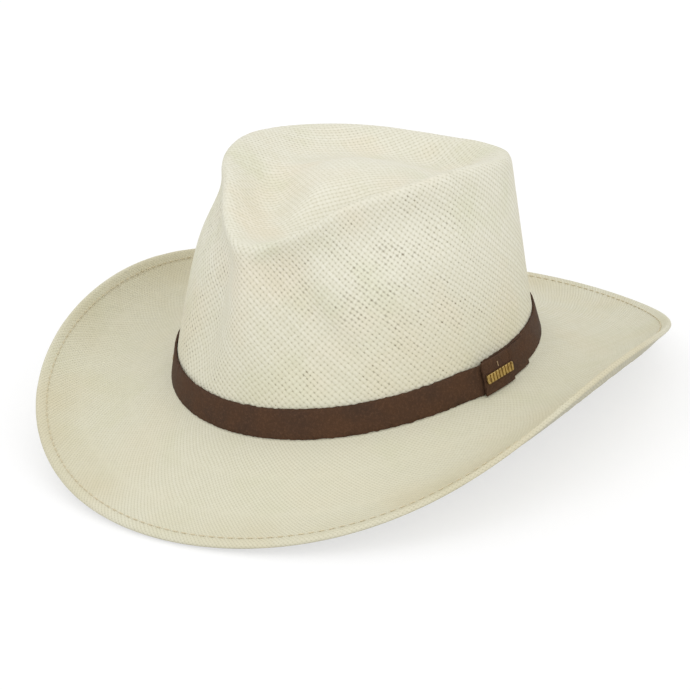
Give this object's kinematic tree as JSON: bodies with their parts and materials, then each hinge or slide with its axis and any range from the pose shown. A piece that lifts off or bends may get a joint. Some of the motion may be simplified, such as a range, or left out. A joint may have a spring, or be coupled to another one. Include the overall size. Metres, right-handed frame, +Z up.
{
  "type": "panama hat",
  "caption": "Woven straw hat with a pinched teardrop crown, a brim curled up at the sides and a narrow leather band with a brass bar.",
  "frame": {"origin": "centre of the head opening, level with the foot of the crown", "axes": "-Y to the front of the hat, +X to the wearer's left, +Z up"},
  "size_m": [0.3, 0.3475, 0.134],
  "materials": {
    "straw": "woven bleached palm straw",
    "straw_thread": "cotton thread",
    "filament": "clear nylon",
    "band_leather": "matt brown, lightly brushed",
    "sweatband_leather": "smooth tan",
    "brass": "satin",
    "label_cloth": "plain woven"
  },
  "bodies": {
    "root": {"straw_body": "straw", "brim_edge_cord": "filament", "brim_hem_thread": "straw_thread", "hatband": "band_leather", "hatband_tab": "band_leather", "tab_bar": "brass", "hatband_tacks": "straw_thread", "sweatband": "sweatband_leather", "sweatband_reed": "filament", "sweatband_thread": "straw_thread", "sweatband_seam_cover": "sweatband_leather", "size_label": "label_cloth"}
  },
  "joints": []
}
